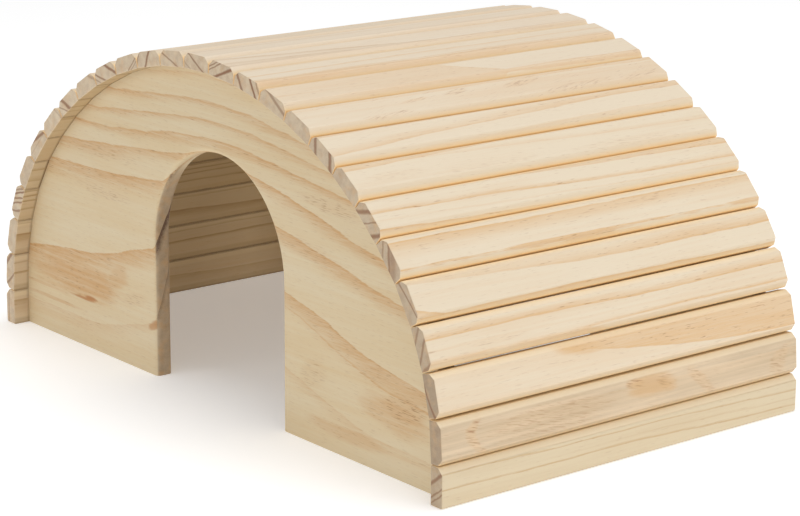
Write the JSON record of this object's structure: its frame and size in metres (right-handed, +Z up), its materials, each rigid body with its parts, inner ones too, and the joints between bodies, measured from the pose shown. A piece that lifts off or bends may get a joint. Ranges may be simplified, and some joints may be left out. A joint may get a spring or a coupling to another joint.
{
  "type": "wooden hamster house",
  "caption": "Arched small-pet hide: bevelled pine slats laid edge to edge over two end boards, each with a round-topped doorway, open below.",
  "frame": {"origin": "on the floor, in the middle of the house", "axes": "+Z up; +X to the right when facing the front doorway; +Y from the front board to the rear board, along the slats"},
  "size_m": [0.2798, 0.17, 0.1317],
  "materials": {
    "board_pine": "unfinished sanded pine board",
    "slat_pine": "unfinished planed pine slat"
  },
  "bodies": {
    "root": {"front_board": "board_pine", "rear_board": "board_pine", "slat_01": "slat_pine", "slat_02": "slat_pine", "slat_03": "slat_pine", "slat_04": "slat_pine", "slat_05": "slat_pine", "slat_06": "slat_pine", "slat_07": "slat_pine", "slat_08": "slat_pine", "slat_09": "slat_pine", "slat_10": "slat_pine", "slat_11": "slat_pine", "slat_12": "slat_pine", "slat_13": "slat_pine", "slat_14": "slat_pine", "slat_15": "slat_pine", "slat_16": "slat_pine", "slat_17": "slat_pine", "slat_18": "slat_pine", "slat_19": "slat_pine", "slat_20": "slat_pine", "slat_21": "slat_pine", "slat_22": "slat_pine", "slat_23": "slat_pine", "slat_24": "slat_pine", "slat_25": "slat_pine", "slat_26": "slat_pine", "slat_27": "slat_pine"}
  },
  "joints": []
}
